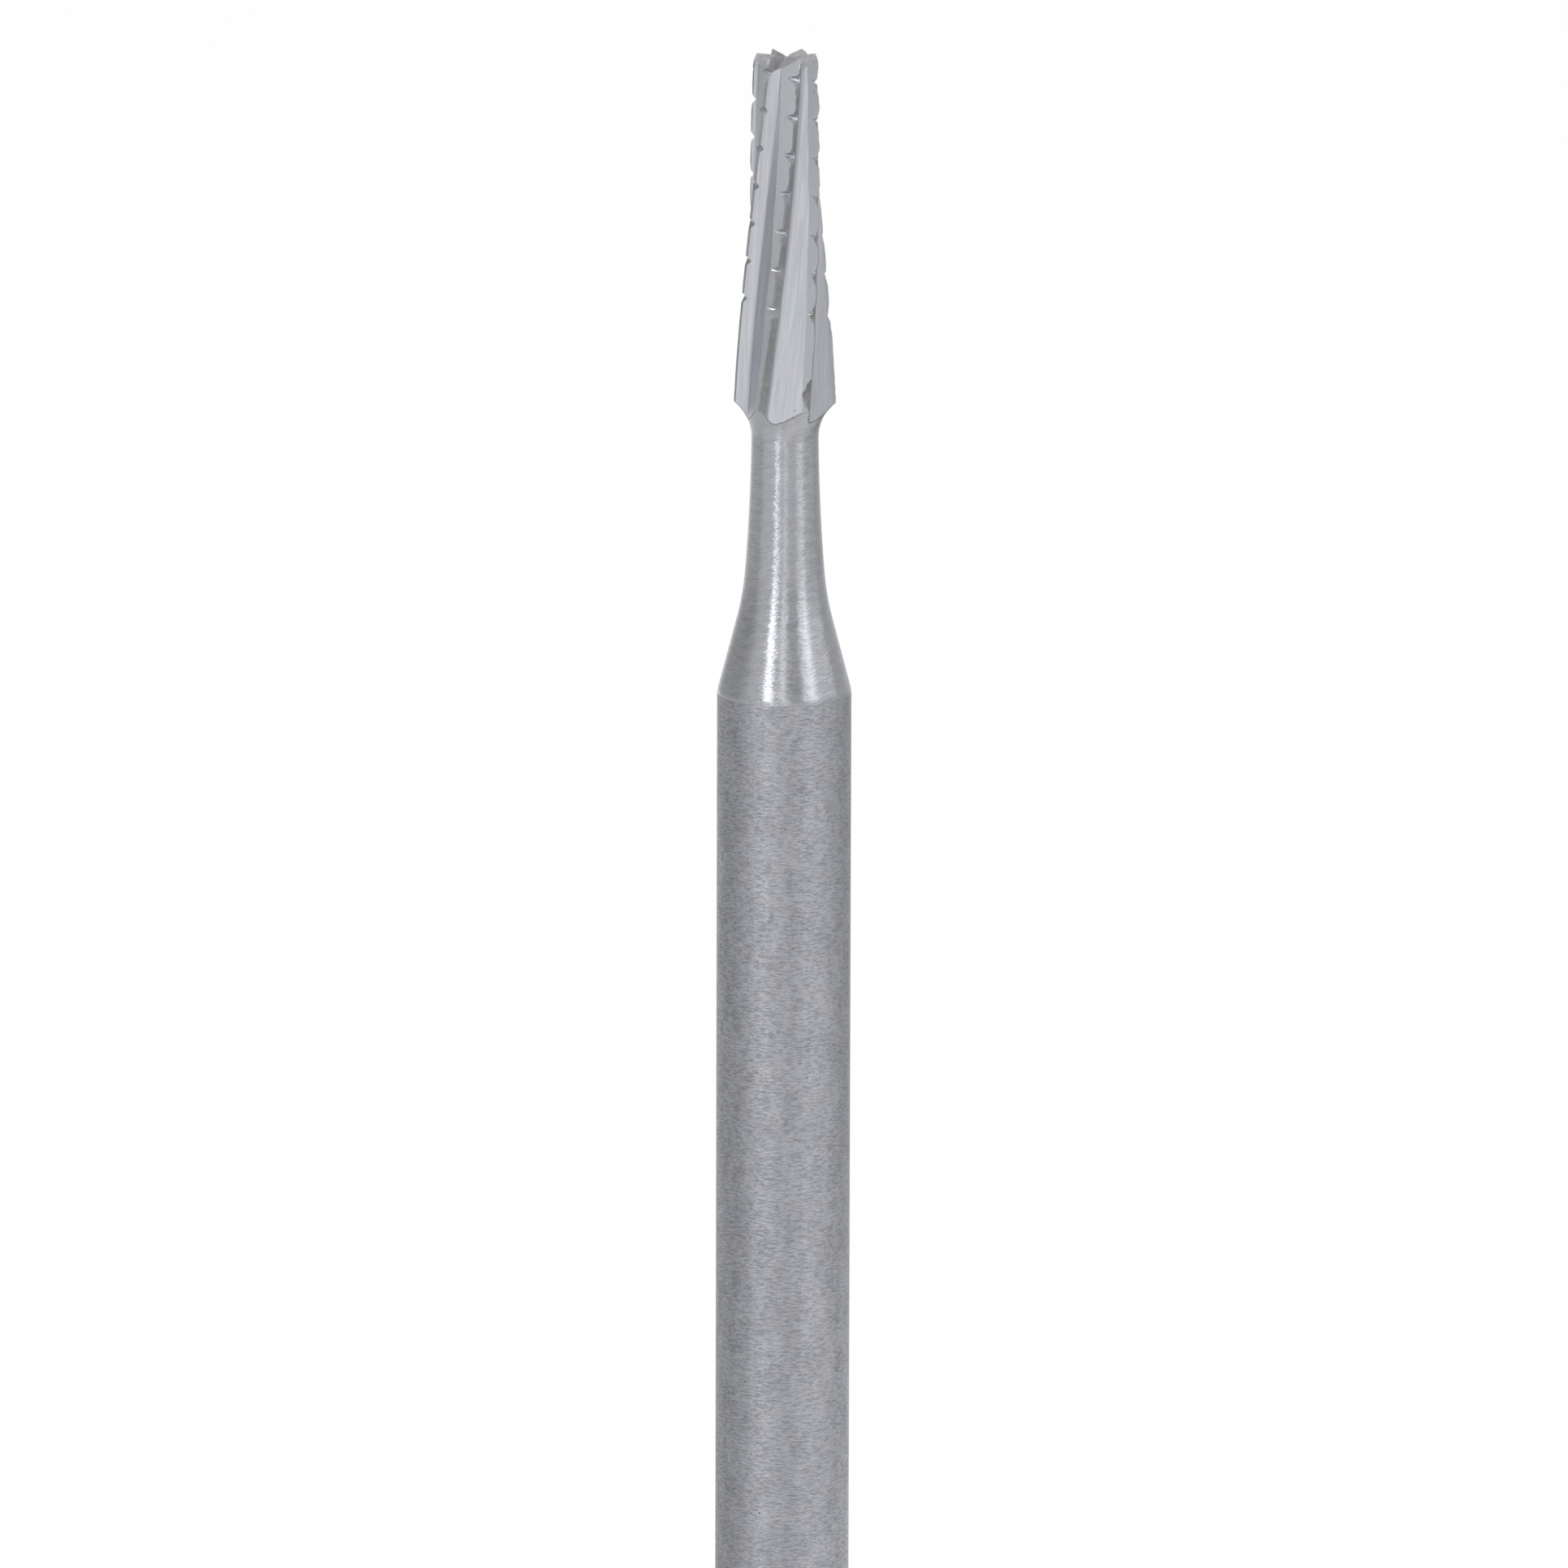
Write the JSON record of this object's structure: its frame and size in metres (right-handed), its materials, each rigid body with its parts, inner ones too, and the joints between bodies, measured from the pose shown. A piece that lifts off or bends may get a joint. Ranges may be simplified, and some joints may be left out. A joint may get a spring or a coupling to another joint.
{
  "type": "carbide burr",
  "caption": "Small rotary cutting burr: a tapered flat-end head with helical crosscut blades on a slim ground neck and a plain friction-grip shank.",
  "frame": {"origin": "centre of the flat end of the shank", "axes": "+Z along the axis of the burr, from the end of the shank to the end teeth at the tip; -Y is the side that faces the camera in the picture"},
  "size_m": [0.0016, 0.0016, 0.019],
  "materials": {
    "carbide": "ground tungsten carbide: satin flutes and neck, matte shank"
  },
  "bodies": {
    "root": {"burr": "carbide"}
  },
  "joints": []
}
